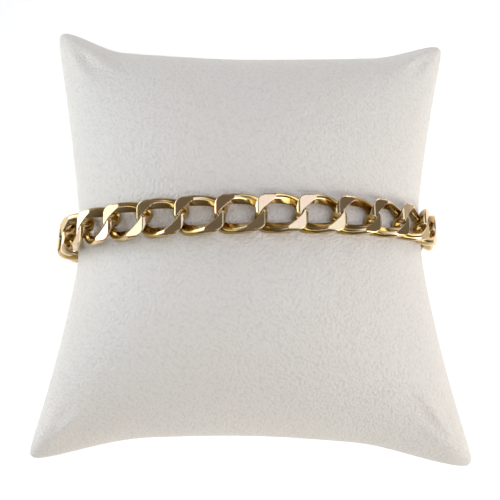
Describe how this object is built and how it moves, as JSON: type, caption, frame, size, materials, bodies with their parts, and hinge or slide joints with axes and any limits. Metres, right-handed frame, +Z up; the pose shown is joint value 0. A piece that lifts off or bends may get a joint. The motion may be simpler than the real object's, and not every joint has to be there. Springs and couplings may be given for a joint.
{
  "type": "cuban link bracelet on display cushion",
  "caption": "Flat-ground curb chain bracelet with a plain box clasp, closed round the drawn-in waist of a square stuffed display cushion.",
  "frame": {"origin": "on the surface that the cushion lies on, under the centre of the bracelet's loop", "axes": "+X along the chain on top, +Y across it towards the cushion's far end, +Z up out of the surface"},
  "size_m": [0.0937, 0.1002, 0.055],
  "materials": {
    "gold": "polished yellow gold, ground flat on both faces and bevelled on top",
    "leatherette": "matt white leatherette with a fine grain"
  },
  "bodies": {
    "root": {"clasp": "gold", "cushion": "leatherette", "link_01": "gold", "link_02": "gold", "link_03": "gold", "link_04": "gold", "link_05": "gold", "link_06": "gold", "link_07": "gold", "link_08": "gold", "link_09": "gold", "link_10": "gold", "link_11": "gold", "link_12": "gold", "link_13": "gold", "link_14": "gold", "link_15": "gold", "link_16": "gold", "link_17": "gold", "link_18": "gold", "link_19": "gold", "link_20": "gold", "link_21": "gold", "link_22": "gold", "link_23": "gold", "link_24": "gold", "link_25": "gold", "link_26": "gold"}
  },
  "joints": []
}
